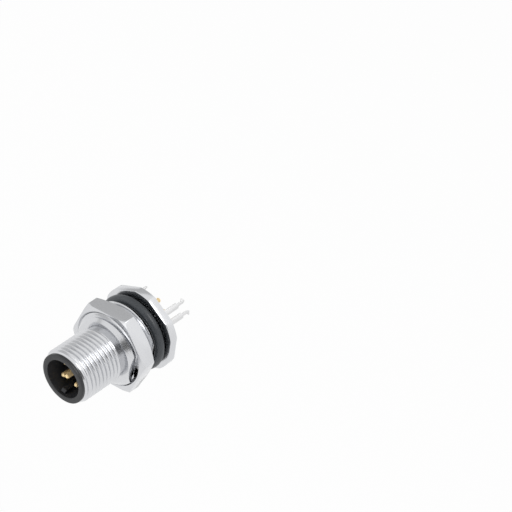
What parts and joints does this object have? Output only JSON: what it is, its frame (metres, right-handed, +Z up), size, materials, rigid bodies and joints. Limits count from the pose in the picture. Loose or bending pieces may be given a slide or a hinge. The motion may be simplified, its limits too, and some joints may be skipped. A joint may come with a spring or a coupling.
{
  "type": "circular connector",
  "caption": "Panel-mount circular connector with a keyed male plug end, threaded metal shell, hexagonal flange and nut, panel seal and straight tails with a shield ring at the back",
  "frame": {"origin": "on the connector's axis, in the plane of the flange's sealing face, where the panel's outer face sits", "axes": "-Y points out of the plug end and +Y out of the tails; +X is the side with the shell's flat; +Z is up and the key is on the -Z side of the cavity"},
  "size_m": [0.0192, 0.0299, 0.0192],
  "materials": {
    "nickel_plate": "satin",
    "seal_rubber": "matte",
    "inner_rubber": "matte",
    "insert_plastic": "satin",
    "gold_plate": "gloss",
    "potting_resin": "satin",
    "tin_plate": "satin"
  },
  "bodies": {
    "connector": {"shell": "nickel_plate", "panel_seal": "seal_rubber", "contact_insert": "insert_plastic", "insert_seal": "inner_rubber", "contact_1": "gold_plate", "contact_2": "gold_plate", "contact_3": "gold_plate", "contact_4": "gold_plate", "contact_5": "gold_plate", "potting": "potting_resin", "contact_holder": "insert_plastic", "shield_ring": "tin_plate"},
    "nut": {"hex_nut": "nickel_plate"}
  },
  "joints": [
    {"name": "nut_travel", "type": "slide", "parent": "connector", "child": "nut", "axis": [0, -1, 0], "range_m": [-0.003, 0.003]}
  ]
}
